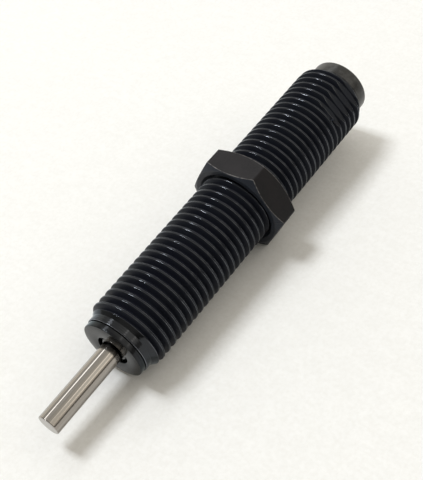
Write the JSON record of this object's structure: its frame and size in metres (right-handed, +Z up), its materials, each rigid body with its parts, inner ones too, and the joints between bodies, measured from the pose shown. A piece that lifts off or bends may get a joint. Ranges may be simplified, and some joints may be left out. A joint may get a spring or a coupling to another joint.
{
  "type": "industrial shock absorber",
  "caption": "Self-contained hydraulic shock absorber: threaded steel housing with a lock nut, wrench flats and a plain spring-returned rod.",
  "frame": {"origin": "centre of the housing's front face, on the rod's axis", "axes": "+X along the rod, out of the housing; +Z up when a flat of the nut rests on a bench; +Y completes the frame"},
  "size_m": [0.0847, 0.0196, 0.017],
  "materials": {
    "black_oxide": "black oxide over a cut thread, semi-gloss",
    "satin_head": "turned and lightly blackened, satin",
    "olive_plug": "dull brown-black oxide",
    "nut_oxide": "matt black oxide with worn bright edges",
    "hard_chrome": "hardened and ground, polished along the axis",
    "bright_steel": "ground",
    "spring_steel": "drawn wire",
    "brass": "turned",
    "bronze": "turned bronze",
    "black_screw": "black oxide",
    "black_rubber": "moulded nitrile rubber",
    "seal_rubber": "moulded polyurethane",
    "foam": "closed-cell foam"
  },
  "bodies": {
    "housing": {"outer_tube": "black_oxide", "front_head": "satin_head", "rod_wiper": "black_rubber", "rod_seal": "seal_rubber", "seal_holder": "brass", "head_o_ring": "black_rubber", "rod_bush": "bronze", "accumulator_foam": "foam", "pressure_tube": "bright_steel", "rear_plug": "olive_plug", "plug_o_ring": "black_rubber", "seal_ball": "bright_steel", "fill_screw": "black_screw", "return_spring": "spring_steel"},
    "rod": {"piston_rod": "hard_chrome", "rod_stop_ring": "black_rubber", "piston_head": "bright_steel", "piston_ring": "spring_steel", "spring_guide": "bright_steel"},
    "valve_ball": {"check_ball": "bright_steel"},
    "nut": {"lock_nut": "nut_oxide"}
  },
  "joints": [
    {"name": "rod_stroke", "type": "slide", "parent": "housing", "child": "rod", "axis": [-1, 0, 0], "range_m": [0, 0.012], "stiffness_N_per_m": 760, "springref_m": -0.00908, "deforming": ["return_spring"]},
    {"name": "check_ball_lift", "type": "slide", "parent": "rod", "child": "valve_ball", "axis": [-1, 0, 0], "range_m": [0, 0.0004]},
    {"name": "nut_travel", "type": "slide", "parent": "housing", "child": "nut", "axis": [1, 0, 0], "range_m": [-0.018, 0.027]}
  ]
}
